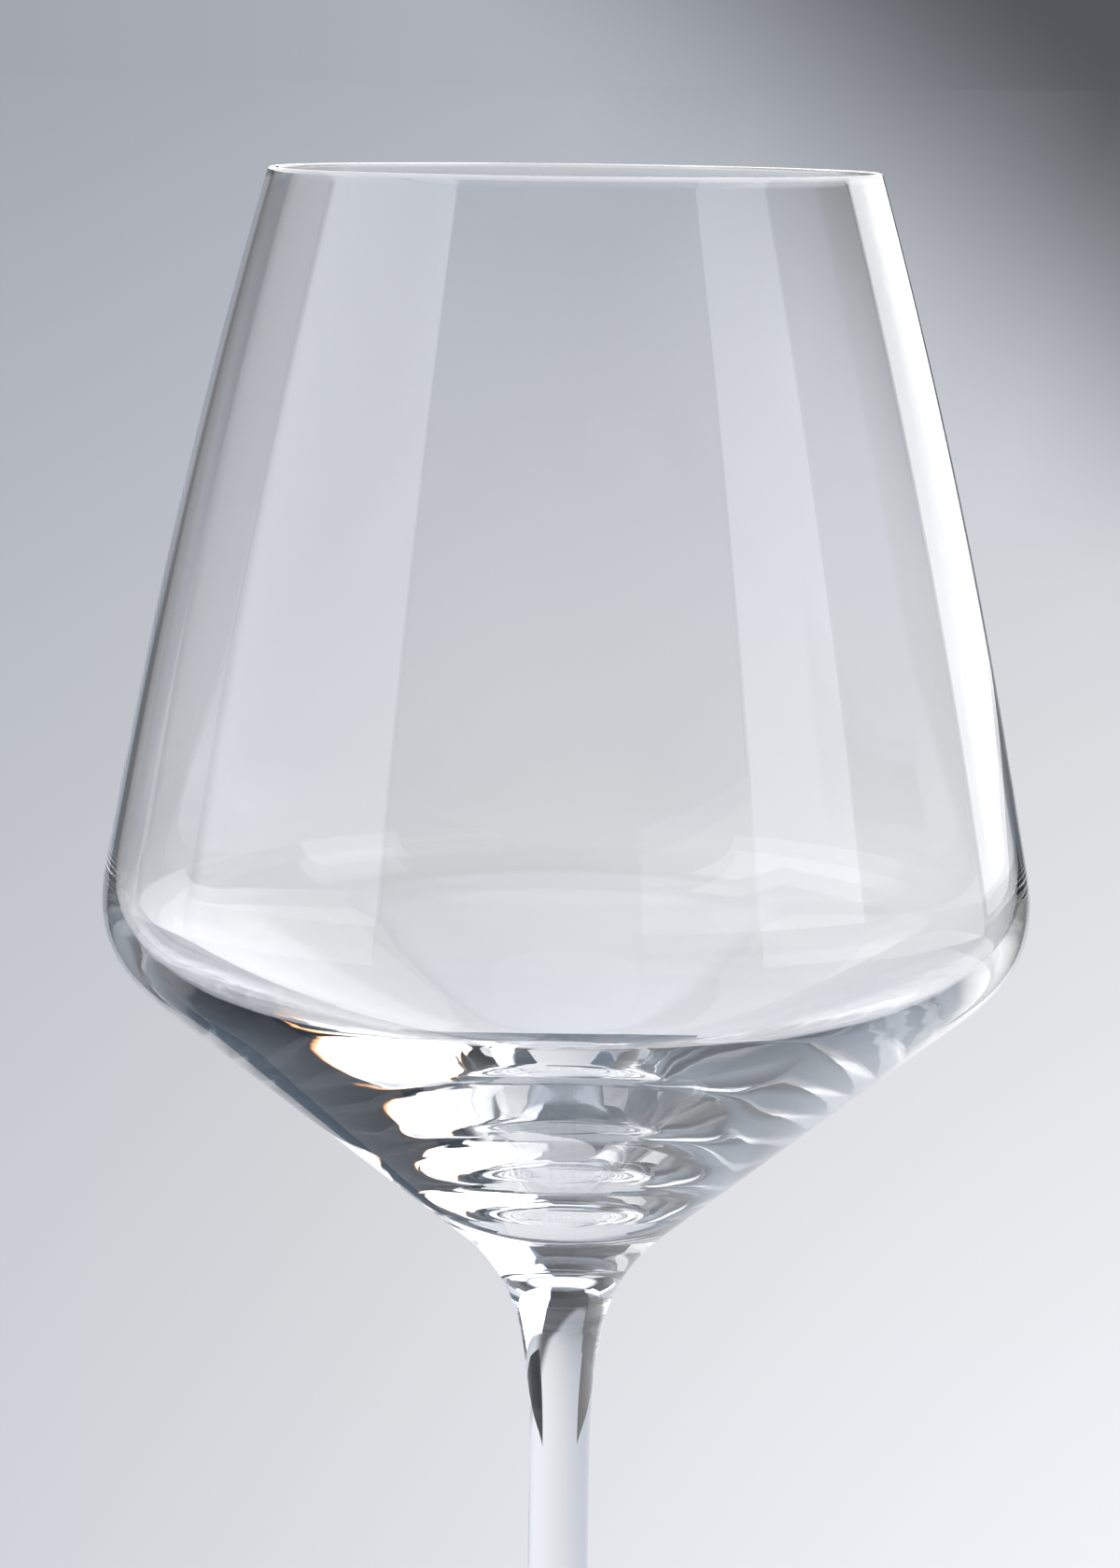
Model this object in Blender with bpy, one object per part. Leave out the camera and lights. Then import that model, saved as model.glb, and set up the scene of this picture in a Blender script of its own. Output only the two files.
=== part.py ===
"""Clear stemmed wine glass: an angular blown bowl, a drawn stem and a pressed foot.

Metres, +Z up.  The origin lies on the axis of the glass, in the plane that it stands on.
Every piece is turned about Z from a profile of straight runs and arcs that meet smoothly.
On the real glass the pieces are fused hot, end to end.  Here each weld is a narrow flat
seam, so that the bowl, the stem and the foot stay separate solids.

A lean is the direction of travel down a profile, measured from straight down, positive
where the profile moves away from the axis.
"""

import math

import bpy

# Whole glass
GLASS_HEIGHT = 0.234
WELD_SEAM = 0.0003
TURN_STEPS = 60
MERGE_DISTANCE = 0.00001

# Bowl, outside
RIM_RADIUS = 0.0358
RIM_LEAN = math.radians(16.1)
WALL_DROP = 0.0837
SHOULDER_LEAN = math.radians(9.5)
SHOULDER_ROUND = 0.0128
CONE_SLOPE = math.radians(38.5)
FLARE_ROUND = 0.0205

# Bowl, thickness of the glass
RIM_WALL = 0.0008
SHOULDER_WALL = 0.0012
INNER_SHOULDER_RISE = 0.0009
INNER_SHOULDER_ROUND = 0.0108
CONE_THICKENING = math.radians(4.35)
INNER_BOTTOM_ROUND = 0.0325

# Stem
STEM_RADIUS = 0.00365
NECK_LEAN = math.radians(10.8)
TAPER_ROUND = 0.069
BOWL_WELD_LEAN = math.radians(23.0)

# Foot
FOOT_RADIUS = 0.042
FOOT_EDGE = 0.0018
FOOT_SLOPE = math.radians(7.0)
FOOT_FLARE_ROUND = 0.014
FOOT_WELD_LEAN = math.radians(30.0)
REST_RING_WIDTH = 0.0045
UNDERSIDE_HOLLOW = 0.0018

# Segments of each stretch of a profile
RIM_SEGMENTS = 6
WALL_SEGMENTS = 8
SHOULDER_SEGMENTS = 10
CONE_SEGMENTS = 3
FLARE_SEGMENTS = 6
TAPER_SEGMENTS = 4
BOTTOM_SEGMENTS = 5
EDGE_SEGMENTS = 8
HOLLOW_SEGMENTS = 5

# Clear colourless glass
GLASS_COLOUR = (0.93, 0.96, 0.96, 1.0)
GLASS_ROUGHNESS = 0.02
GLASS_IOR = 1.52

# Directions of travel that follow from the sizes above
CONE_LEAN = CONE_SLOPE - math.pi / 2
INNER_CONE_LEAN = CONE_LEAN - CONE_THICKENING
DISC_LEAN = math.pi / 2 - FOOT_SLOPE


def steps_between(first, last, segments):
    """Return the values after first, in equal steps, up to and including last."""
    return [first + (last - first) * step / segments for step in range(1, segments + 1)]


def arc(start, lean_from, lean_to, radius, segments):
    """Return the points after start on an arc whose lean goes from lean_from to lean_to."""
    turn = math.copysign(radius, lean_to - lean_from)
    return [
        (
            start[0] + turn * (math.cos(lean_from) - math.cos(lean)),
            start[1] + turn * (math.sin(lean_from) - math.sin(lean)),
        )
        for lean in steps_between(lean_from, lean_to, segments)
    ]


def line(start, end, segments):
    """Return the points after start on a straight run to end."""
    radii = steps_between(start[0], end[0], segments)
    heights = steps_between(start[1], end[1], segments)
    return list(zip(radii, heights))


def moved(point, lean, distance):
    """Return the point moved outward, square to a profile that has this lean."""
    return (point[0] + distance * math.cos(lean), point[1] + distance * math.sin(lean))


def drop_of_arc(lean_from, lean_to, radius):
    """Return how far an arc comes down while its lean goes from lean_from to lean_to."""
    return radius * abs(math.sin(lean_to) - math.sin(lean_from))


def spread_of_arc(lean_from, lean_to, radius):
    """Return how far an arc moves across while its lean goes from lean_from to lean_to."""
    return radius * abs(math.cos(lean_to) - math.cos(lean_from))


def rim_centre():
    """Return the centre of the rim's round edge, with heights counted from the top of the glass."""
    return (RIM_RADIUS - RIM_WALL / 2, -RIM_WALL / 2)


def wall_point(along):
    """Return the outer point and the lean at a share of the way from the rim to the shoulder."""
    start = moved(rim_centre(), RIM_LEAN, RIM_WALL / 2)
    lean = RIM_LEAN + (SHOULDER_LEAN - RIM_LEAN) * along
    wall_round = WALL_DROP / (math.sin(RIM_LEAN) - math.sin(SHOULDER_LEAN))
    spread = wall_round * (math.cos(lean) - math.cos(RIM_LEAN))
    drop = wall_round * (math.sin(RIM_LEAN) - math.sin(lean))
    return (start[0] + spread, start[1] - drop), lean


def wall_outside():
    """Return the outer points of the bowl's leaning wall, below the rim's round edge."""
    return [wall_point(along)[0] for along in steps_between(0.0, 1.0, WALL_SEGMENTS)]


def wall_inside():
    """Return the inner points of the wall, below the rim, and the lean where its rounding starts."""
    points = []
    end = 1.0 - INNER_SHOULDER_RISE / WALL_DROP
    for along in steps_between(0.0, end, WALL_SEGMENTS):
        point, lean = wall_point(along)
        thickness = RIM_WALL + (SHOULDER_WALL - RIM_WALL) * along
        points.append(moved(point, lean, -thickness))
    return points, lean


def underside():
    """Return the outer points below the wall: shoulder, cone, and flare down to the stem weld."""
    shoulder = arc(wall_outside()[-1], SHOULDER_LEAN, CONE_LEAN, SHOULDER_ROUND, SHOULDER_SEGMENTS)
    cone_start = shoulder[-1]
    flare_radius = STEM_RADIUS + spread_of_arc(0.0, NECK_LEAN, TAPER_ROUND)
    flare_radius += spread_of_arc(NECK_LEAN, CONE_LEAN, FLARE_ROUND)
    cone_fall = (cone_start[0] - flare_radius) * math.tan(CONE_SLOPE)
    cone = line(cone_start, (flare_radius, cone_start[1] - cone_fall), CONE_SEGMENTS)
    flare = arc(cone[-1], CONE_LEAN, -BOWL_WELD_LEAN, FLARE_ROUND, FLARE_SEGMENTS)
    return shoulder + cone + flare


def bowl_inside():
    """Return the inner points of the bowl, from below the rim to the middle of its bottom."""
    wall, lean = wall_inside()
    shoulder = arc(wall[-1], lean, INNER_CONE_LEAN, INNER_SHOULDER_ROUND, SHOULDER_SEGMENTS)

    cone_start = shoulder[-1]
    bottom_radius = spread_of_arc(INNER_CONE_LEAN, -math.pi / 2, INNER_BOTTOM_ROUND)
    cone_fall = (bottom_radius - cone_start[0]) / math.tan(INNER_CONE_LEAN)
    cone = line(cone_start, (bottom_radius, cone_start[1] - cone_fall), CONE_SEGMENTS)

    bottom = arc(cone[-1], INNER_CONE_LEAN, -math.pi / 2, INNER_BOTTOM_ROUND, BOTTOM_SEGMENTS)
    middle = (0.0, bottom[-1][1])
    return wall + shoulder + cone + bottom[:-1] + [middle]


def bowl_profile():
    """Return the bowl's profile: up its inside, over the rim and down its outside to the weld."""
    rim_leans = [RIM_LEAN + math.pi] + steps_between(RIM_LEAN + math.pi, RIM_LEAN, RIM_SEGMENTS)
    rim = [moved(rim_centre(), lean, RIM_WALL / 2) for lean in rim_leans]
    outside = wall_outside() + underside()
    weld_middle = (0.0, outside[-1][1])
    return bowl_inside()[::-1] + rim + outside + [weld_middle]


def foot_edge_point(lean):
    """Return the point with this lean on the foot's round edge, which stands on the table."""
    edge_round = FOOT_EDGE / 2
    return moved((FOOT_RADIUS - edge_round, edge_round), lean, edge_round)


def foot_flare_end():
    """Return where the foot's flare runs out into its sloping disc."""
    radius = STEM_RADIUS + spread_of_arc(0.0, DISC_LEAN, FOOT_FLARE_ROUND)
    edge_start = foot_edge_point(DISC_LEAN)
    return (radius, edge_start[1] + (edge_start[0] - radius) * math.tan(FOOT_SLOPE))


def foot_weld():
    """Return the edge of the flat weld face on top of the foot."""
    end = foot_flare_end()
    return (
        end[0] - spread_of_arc(FOOT_WELD_LEAN, DISC_LEAN, FOOT_FLARE_ROUND),
        end[1] + drop_of_arc(FOOT_WELD_LEAN, DISC_LEAN, FOOT_FLARE_ROUND),
    )


def foot_profile():
    """Return the foot's profile: from its weld face over the disc and under it to the axis."""
    weld = foot_weld()
    flare = arc(weld, FOOT_WELD_LEAN, DISC_LEAN, FOOT_FLARE_ROUND, FLARE_SEGMENTS)
    disc = line(flare[-1], foot_edge_point(DISC_LEAN), CONE_SEGMENTS)
    edge = [foot_edge_point(lean) for lean in steps_between(DISC_LEAN, -math.pi / 2, EDGE_SEGMENTS)]

    hollow_edge = (edge[-1][0] - REST_RING_WIDTH, 0.0)
    hollow_round = (hollow_edge[0] ** 2 + UNDERSIDE_HOLLOW**2) / (2 * UNDERSIDE_HOLLOW)
    hollow_angle = math.asin(hollow_edge[0] / hollow_round)
    hollow = [
        (hollow_round * math.sin(angle), UNDERSIDE_HOLLOW - hollow_round * (1 - math.cos(angle)))
        for angle in steps_between(hollow_angle, 0.0, HOLLOW_SEGMENTS)
    ]
    return [(0.0, weld[1]), weld] + flare + disc + edge + [hollow_edge] + hollow


def bowl_weld_height():
    """Return the height of the weld face under the bowl."""
    return GLASS_HEIGHT + underside()[-1][1]


def stem_profile():
    """Return the stem's profile between its two weld faces, with heights from the stem's top."""
    top = (underside()[-1][0], 0.0)
    neck = arc(top, -BOWL_WELD_LEAN, -NECK_LEAN, FLARE_ROUND, FLARE_SEGMENTS)
    taper = arc(neck[-1], -NECK_LEAN, 0.0, TAPER_ROUND, TAPER_SEGMENTS)
    length = bowl_weld_height() - foot_weld()[1] - 2 * WELD_SEAM
    flare_drop = drop_of_arc(0.0, FOOT_WELD_LEAN, FOOT_FLARE_ROUND)
    shaft = line(taper[-1], (STEM_RADIUS, flare_drop - length), CONE_SEGMENTS)
    flare = arc(shaft[-1], 0.0, FOOT_WELD_LEAN, FOOT_FLARE_ROUND, FLARE_SEGMENTS)
    return [(0.0, 0.0), top] + neck + taper + shaft + flare + [(0.0, flare[-1][1])]


def glass_material(name):
    """Return a clear glass material."""
    material = bpy.data.materials.new(name)
    material.use_nodes = True
    shader = material.node_tree.nodes["Principled BSDF"]
    shader.inputs["Base Color"].default_value = GLASS_COLOUR
    shader.inputs["Roughness"].default_value = GLASS_ROUGHNESS
    shader.inputs["Metallic"].default_value = 0.0
    shader.inputs["IOR"].default_value = GLASS_IOR
    shader.inputs["Transmission Weight"].default_value = 1.0
    return material


def turned_piece(name, profile, height, parent):
    """Add one solid, turned about Z from a profile that runs down its outer side.

    The piece stands on the axis, with its profile's zero at the given height.
    """
    mesh = bpy.data.meshes.new(name)
    points = [(radius, 0.0, z) for radius, z in profile]
    edges = [(index, index + 1) for index in range(len(points) - 1)]
    mesh.from_pydata(points, edges, [])
    mesh.materials.append(glass_material(name + "_glass"))

    piece = bpy.data.objects.new(name, mesh)
    bpy.context.scene.collection.objects.link(piece)
    piece.parent = parent
    piece.location = (0.0, 0.0, height)

    turn = piece.modifiers.new("turn", "SCREW")
    turn.axis = "Z"
    turn.angle = 2 * math.pi
    turn.steps = TURN_STEPS
    turn.render_steps = TURN_STEPS
    turn.use_merge_vertices = True
    turn.merge_threshold = MERGE_DISTANCE
    turn.use_smooth_shade = True
    return piece


def main():
    """Build the glass from its three pieces, top to bottom."""
    for old in list(bpy.data.objects):
        bpy.data.objects.remove(old, do_unlink=True)

    glass = bpy.data.objects.new("wine_glass", None)
    bpy.context.scene.collection.objects.link(glass)

    turned_piece("bowl", bowl_profile(), GLASS_HEIGHT, glass)
    turned_piece("stem", stem_profile(), bowl_weld_height() - WELD_SEAM, glass)
    turned_piece("foot", foot_profile(), 0.0, glass)


main()
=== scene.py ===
"""Clear stemmed red wine glass, empty, on a plain pale floor under soft studio light.

Metres, +Z up.  The origin lies on the axis of the glass, in the plane that it stands on.
The bowl, the stem and the foot are turned about Z from profiles of straight runs and arcs
that meet smoothly.  They are fused hot on the real glass, so here they meet edge to edge and
light runs from one into the next without a seam.

A lean is the direction of travel down a profile, measured from straight down, positive where
the profile moves away from the axis.  A point on a profile is a pair: radius, height.
"""

import logging
import math
from dataclasses import dataclass, field
from enum import Enum
from typing import Any

import bpy
import numpy as np
from mathutils import Matrix, Vector


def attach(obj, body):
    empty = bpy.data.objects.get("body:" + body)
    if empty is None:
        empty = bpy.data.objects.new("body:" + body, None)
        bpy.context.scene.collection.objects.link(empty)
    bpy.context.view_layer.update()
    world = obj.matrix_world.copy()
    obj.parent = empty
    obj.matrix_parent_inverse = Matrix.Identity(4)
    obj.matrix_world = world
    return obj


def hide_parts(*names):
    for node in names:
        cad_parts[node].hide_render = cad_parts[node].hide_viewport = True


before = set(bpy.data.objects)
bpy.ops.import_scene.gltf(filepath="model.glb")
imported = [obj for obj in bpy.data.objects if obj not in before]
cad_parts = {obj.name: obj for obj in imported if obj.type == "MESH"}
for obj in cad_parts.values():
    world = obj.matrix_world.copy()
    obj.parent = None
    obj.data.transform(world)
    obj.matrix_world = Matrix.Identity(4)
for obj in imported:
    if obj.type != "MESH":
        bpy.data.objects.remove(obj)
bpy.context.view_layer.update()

LOG = logging.getLogger("wine_glass")
MM = 0.001
QUARTER_TURN = math.pi / 2
WELD_HALF_GAP = np.array([0.0, 0.000005])
HAIR = 0.01

# Light paths: how long they may get, the gap between two whole counts, and a node's soft step
MOST_BOUNCES = 128
BETWEEN_COUNTS = 0.5
SOFT_STEP = {"interpolation_type": "SMOOTHSTEP"}

# Colours of the studio's screens and cards
WHITE = "ffffff"
COOL_WHITE = "fbfcff"
PALE_BLUE = "d4e2f4"
SLATE = "b9d2ee"

# Where the right screen ends and the strip begins: heights and azimuths
STRIP_EDGE = ((0.12, 121.5), (0.3, 119.5), (0.46, 116.5), (0.68, 113.5))


class Piece(Enum):
    """The three pieces that are fused into the glass; each value is the CAD node's name."""

    BOWL = "bowl"
    STEM = "stem"
    FOOT = "foot"

    @property
    def slot(self) -> str:
        """A material slot name for this piece: its CAD node's name with a _glass ending."""
        return self.value + "_glass"


class Surface(Enum):
    """The surfaces of a piece; each value is the material index of its faces."""

    POLISHED = 0
    WELD = 1


def linear(code: str = WHITE) -> tuple[float, float, float, float]:
    """Turn an sRGB hex colour into the linear colour that a shader takes.

    Args:
        code: Six hex digits, such as "c8d2d4".

    Returns:
        Linear red, green, blue and an alpha of 1.
    """
    srgb = np.array([int(code[start : start + 2], 16) for start in (0, 2, 4)]) / 255
    light = np.where(srgb <= 0.04045, srgb / 12.92, ((srgb + 0.055) / 1.055) ** 2.4)
    return (*light.tolist(), 1.0)


def add_node(
    tree: bpy.types.NodeTree, kind: str, inputs: Any = (), output: int | str = 0, **settings: Any
) -> bpy.types.NodeSocket | None:
    """Add a node, set its options, and set or link its inputs.

    Args:
        tree: The tree that takes the node.
        kind: The node's type without its prefix, such as "Math".
        inputs: Plain values, or the outputs that feed them, in order or by name or number.
        output: The name or number of the output that is wanted.
        settings: Option names and their values.

    Returns:
        The wanted output, or None where the node ends the tree.
    """
    node = tree.nodes.new("ShaderNode" + kind)
    for name, value in settings.items():
        setattr(node, name, value)
    for name, value in inputs.items() if isinstance(inputs, dict) else enumerate(inputs):
        if isinstance(value, bpy.types.NodeSocket):
            tree.links.new(value, node.inputs[name])
        else:
            node.inputs[name].default_value = value
    return node.outputs[output] if node.outputs else None


# Profiles


def arc(start: np.ndarray, lean_from: float, lean_to: float, radius: float, step: float) -> np.ndarray:
    """Points after start on a round of a profile.

    The lean goes evenly from lean_from to lean_to, and each point is the start plus the
    radius times the change of the lean's cosine (across) and sine (up).

    Args:
        start: The point that the round starts from.
        lean_from: The lean at the start.
        lean_to: The lean at the end.
        radius: The radius of the round.
        step: The widest spacing of the points.

    Returns:
        One row for each point.
    """
    count = max(2, math.ceil(abs(lean_to - lean_from) * radius / step))
    leans = np.linspace(lean_from, lean_to, count + 1)[1:]
    turn = math.copysign(radius, lean_to - lean_from)
    across = turn * (math.cos(lean_from) - np.cos(leans))
    rise = turn * (math.sin(lean_from) - np.sin(leans))
    return start + np.column_stack([across, rise])


def run(start: np.ndarray, end: np.ndarray, step: float) -> np.ndarray:
    """Points after start on a straight run: the start plus even shares of the way to the end.

    Args:
        start: The point that the run starts from.
        end: The run's last point.
        step: The widest spacing of the points.

    Returns:
        One row for each point.
    """
    count = max(1, math.ceil(float(np.linalg.norm(end - start)) / step))
    shares = np.linspace(0.0, 1.0, count + 1)[1:, None]
    return start + (end - start) * shares


def melted(points: np.ndarray, width: float, zone: tuple[float, float], taper: float) -> np.ndarray:
    """Even out the bends of a profile, as the flame does, so that no bend starts suddenly.

    Each point becomes a mean of its neighbours, weighed by the bell curve of their distance
    along the profile.  The mean of what that takes away is added again, so that rounds keep
    their radius.

    Args:
        points: The profile.
        width: The width of the bell curve.
        zone: The heights between which the profile is evened out.
        taper: The height over which the effect grows from none to full at the ends of the zone.

    Returns:
        The profile with the same number of points.
    """
    steps = np.linalg.norm(np.diff(points, axis=0), axis=1)
    along = np.concatenate([[0.0], np.cumsum(steps)])
    spacing = np.gradient(along)
    weights = np.exp(-((along[:, None] - along[None, :]) ** 2) / (2 * width**2)) * spacing
    weights = weights / weights.sum(axis=1, keepdims=True)
    even = weights @ points
    even = even + weights @ (points - even)
    rise = points[:, 1]
    share = np.clip(np.minimum(rise - zone[0], zone[1] - rise) / taper, 0.0, 1.0)
    return points + (even - points) * share[:, None]


def square_to(lean: Any) -> np.ndarray:
    """The outward direction square to a profile that has this lean: its cosine and sine."""
    return np.stack([np.cos(lean), np.sin(lean)], axis=-1)


def close_ring(points: np.ndarray, neighbour: np.ndarray) -> np.ndarray:
    """A point a hair away from the end of a profile, so that shading stays true up to a weld.

    Args:
        points: The profile's end point.
        neighbour: The point before or after it.

    Returns:
        The point that lies a hair's share of the way to the neighbour, as one row.
    """
    return (points + (neighbour - points) * HAIR)[None, :]


def turned_mesh(name: str, profile: np.ndarray, segments: int, welds: tuple[int, ...]) -> bpy.types.Mesh:
    """Turn a profile about Z into a closed mesh whose faces point outwards.

    Each ring has the points radius times cosine, radius times sine, height, for even angles.
    The profile starts and ends on the axis with one point, and runs so that the glass lies on
    its right-hand side: up the inside of a hollow, and down the outside.

    Args:
        name: The mesh's name.
        profile: One row of radius and height for each ring.
        segments: How many faces go round.
        welds: The rings that bound a weld face, whose edges stay sharp.

    Returns:
        The mesh, with the weld faces on the weld's material index.
    """
    angles = np.arange(segments) * (2 * math.pi / segments)
    radii, heights = profile[1:-1, 0:1], profile[1:-1, 1:2]
    rings = np.stack(
        [radii * np.cos(angles), radii * np.sin(angles), np.broadcast_to(heights, (len(radii), segments))],
        axis=-1,
    )
    first, last = [0.0, 0.0, profile[0, 1]], [0.0, 0.0, profile[-1, 1]]
    points = np.vstack([first, rings.reshape(-1, 3), last])

    numbers = 1 + np.arange(len(radii) * segments).reshape(len(radii), segments)
    after = np.roll(numbers, -1, axis=1)
    top_fan = np.column_stack([np.zeros(segments, int), numbers[0], after[0]])
    sides = np.stack([numbers[:-1], numbers[1:], after[1:], after[:-1]], axis=-1).reshape(-1, 4)
    end_fan = np.column_stack([numbers[-1], np.full(segments, len(points) - 1), after[-1]])
    corners = np.concatenate([top_fan.ravel(), sides.ravel(), end_fan.ravel()])
    sizes = np.concatenate([np.full(segments, 3), np.full(len(sides), 4), np.full(segments, 3)])

    mesh = bpy.data.meshes.new(name)
    mesh.vertices.add(len(points))
    mesh.vertices.foreach_set("co", points.astype(np.float32).ravel())
    mesh.loops.add(len(corners))
    mesh.loops.foreach_set("vertex_index", corners.astype(np.int32))
    mesh.polygons.add(len(sizes))
    mesh.polygons.foreach_set("loop_start", (np.cumsum(sizes) - sizes).astype(np.int32))
    surfaces = np.full(len(sizes), Surface.POLISHED.value, dtype=np.int32)
    if 1 in welds:
        surfaces[:segments] = Surface.WELD.value
    if len(profile) - 2 in welds:
        surfaces[-segments:] = Surface.WELD.value
    mesh.polygons.foreach_set("material_index", surfaces)
    mesh.update(calc_edges=True)
    mesh.shade_smooth()

    ends = np.empty(2 * len(mesh.edges), dtype=np.int32)
    mesh.edges.foreach_get("vertices", ends)
    ring_of = (ends.reshape(-1, 2) - 1) // segments + 1
    sharp = (ring_of[:, 0] == ring_of[:, 1]) & np.isin(ring_of[:, 0], welds)
    mesh.attributes.new("sharp_edge", "BOOLEAN", "EDGE").data.foreach_set("value", sharp)
    return mesh


# Finishes


@dataclass(frozen=True)
class BlownGlass:
    """Clear crystalline soda glass, blown or drawn and fire-polished.

    The eye sees no grain.  It sees a gently uneven surface, left by the tool marks that the
    flame has melted flat, which makes the mirrored lights waver a little, and a faint cool
    tint where the light runs a long way inside the glass.
    """

    name: str
    tint: str = "fefefe"
    tint_deep: str = "fafbfc"
    ior: float = 1.52
    wave_mm: float = 24.0
    wave_height_mm: float = 0.006
    cloud_mm: float = 35.0
    ripple_mm: float = 8.0
    ripple_height_mm: float = 0.0
    ripple_heights: tuple[float, float] = (0.150, 0.140)
    ripple_clear: tuple[float, float] = (0.108, 0.118)
    ring_mm: float = 0.9
    ring_height_mm: float = 0.0
    ring_reach: tuple[float, float] = (0.009, 0.006)
    ring_floor: float = 0.111

    def material(self) -> bpy.types.Material:
        """Make the material.

        Returns:
            A material whose colour and waviness come from patterns on Object coordinates.
        """
        made = bpy.data.materials.new(self.name)
        made.use_nodes = True
        tree = made.node_tree
        shader = tree.nodes["Principled BSDF"]
        shader.inputs["Transmission Weight"].default_value = 1.0
        shader.inputs["Roughness"].default_value = 0.0
        shader.inputs["IOR"].default_value = self.ior
        place = add_node(tree, "TexCoord", output="Object")

        cloud = {"Vector": place, "Scale": 1 / (self.cloud_mm * MM), "Detail": 1.0}
        cloud = add_node(tree, "TexNoise", cloud, "Fac")
        tint = {0: cloud, 6: linear(self.tint), 7: linear(self.tint_deep)}
        tint = add_node(tree, "Mix", tint, 2, data_type="RGBA")
        tree.links.new(tint, shader.inputs["Base Color"])

        wave = {"Vector": place, "Scale": 1 / (self.wave_mm * MM), "Detail": 0.0}
        height = add_node(tree, "TexNoise", wave, "Fac")
        across, along, rise = add_node(tree, "SeparateXYZ", (place,)).node.outputs
        if self.ripple_height_mm:
            ripple = {"Vector": place, "Scale": 1 / (self.ripple_mm * MM), "Detail": 1.0}
            ripple = add_node(tree, "TexNoise", ripple, "Fac")
            share = self.ripple_height_mm / self.wave_height_mm
            for start, full in (self.ripple_heights, self.ripple_clear):
                fade = add_node(tree, "MapRange", (rise, start, full, 0.0, 1.0), **SOFT_STEP)
                share = add_node(tree, "Math", (fade, share), operation="MULTIPLY")
            height = add_node(tree, "Math", (ripple, share, height), operation="MULTIPLY_ADD")
        if self.ring_height_mm:
            level = add_node(tree, "CombineXYZ", (across, along))
            radius = add_node(tree, "VectorMath", (level,), "Value", operation="LENGTH")
            ring = (radius, 2 * math.pi / (self.ring_mm * MM))
            ring = add_node(tree, "Math", ring, operation="MULTIPLY")
            ring = add_node(tree, "Math", (ring,), operation="SINE")
            fade = add_node(tree, "MapRange", (radius, *self.ring_reach, 0.0, 1.0), **SOFT_STEP)
            share = add_node(tree, "Math", (rise, self.ring_floor), operation="GREATER_THAN")
            share = add_node(tree, "Math", (fade, share), operation="MULTIPLY")
            share = (share, self.ring_height_mm / (2 * self.wave_height_mm))
            share = add_node(tree, "Math", share, operation="MULTIPLY")
            height = add_node(tree, "Math", (ring, share, height), operation="MULTIPLY_ADD")
        bump = {"Height": height, "Distance": self.wave_height_mm * MM, "Strength": 1.0}
        tree.links.new(add_node(tree, "Bump", bump), shader.inputs["Normal"])
        return made


@dataclass(frozen=True)
class FusedWeld:
    """The plane inside the glass where two pieces are fused.

    The two melts become one, so the eye sees nothing there: light passes without bending.
    """

    name: str = "fused_glass_weld"
    ior: float = 1.0

    def material(self) -> bpy.types.Material:
        """Make the material: clear, and with the refraction of one glass against itself."""
        made = bpy.data.materials.new(self.name)
        made.use_nodes = True
        shader = made.node_tree.nodes["Principled BSDF"]
        shader.inputs["Base Color"].default_value = (1.0, 1.0, 1.0, 1.0)
        shader.inputs["Transmission Weight"].default_value = 1.0
        shader.inputs["Roughness"].default_value = 0.0
        shader.inputs["IOR"].default_value = self.ior
        return made


# Pieces


@dataclass
class TurnedPiece:
    """A piece of the glass that is turned about Z."""

    segments: int = 240
    step: float = 0.001
    weld: FusedWeld = field(default_factory=FusedWeld)

    def add(
        self, piece: Piece, profile: np.ndarray, welds: tuple[int, ...], finish: BlownGlass
    ) -> bpy.types.Object:
        """Add the piece to the scene, dress it, hang it from the root body and hide its CAD node.

        Args:
            piece: Which piece this is.
            profile: One row of radius and height for each ring.
            welds: The rings that bound a weld face.
            finish: The glass that it is made of.

        Returns:
            The new object.
        """
        mesh = turned_mesh(piece.value + "_shape", profile, self.segments, welds)
        for finish_of_surface in (finish, self.weld):
            mesh.materials.append(finish_of_surface.material())
        made = bpy.data.objects.new(piece.value + "_turned", mesh)
        bpy.context.scene.collection.objects.link(made)
        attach(made, "root")
        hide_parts(piece.value)
        return made


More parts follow.
